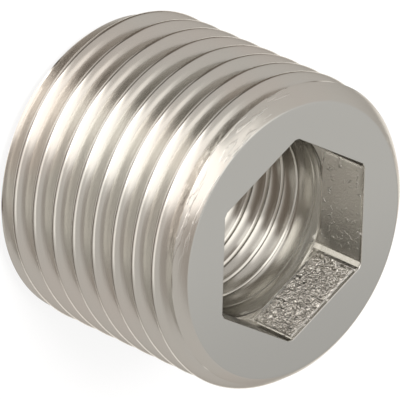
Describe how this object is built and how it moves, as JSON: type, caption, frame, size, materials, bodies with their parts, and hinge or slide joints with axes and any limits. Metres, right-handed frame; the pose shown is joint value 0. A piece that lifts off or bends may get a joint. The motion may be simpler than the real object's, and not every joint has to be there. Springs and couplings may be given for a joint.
{
  "type": "hollow threaded pipe plug (reducing bush)",
  "caption": "Flush hollow pipe plug: parallel pipe thread outside, hexagon key socket in the outer end, smaller threaded bore from the inner end.",
  "frame": {"origin": "centre of the inner end face, which the plug stands on", "axes": "+Z along the thread axis towards the socket face, +X through a corner of the hexagon socket"},
  "size_m": [0.0206, 0.0206, 0.017],
  "materials": {
    "nickel_plate": "satin nickel plating on brass"
  },
  "bodies": {
    "root": {"hollow_plug": "nickel_plate"}
  },
  "joints": []
}
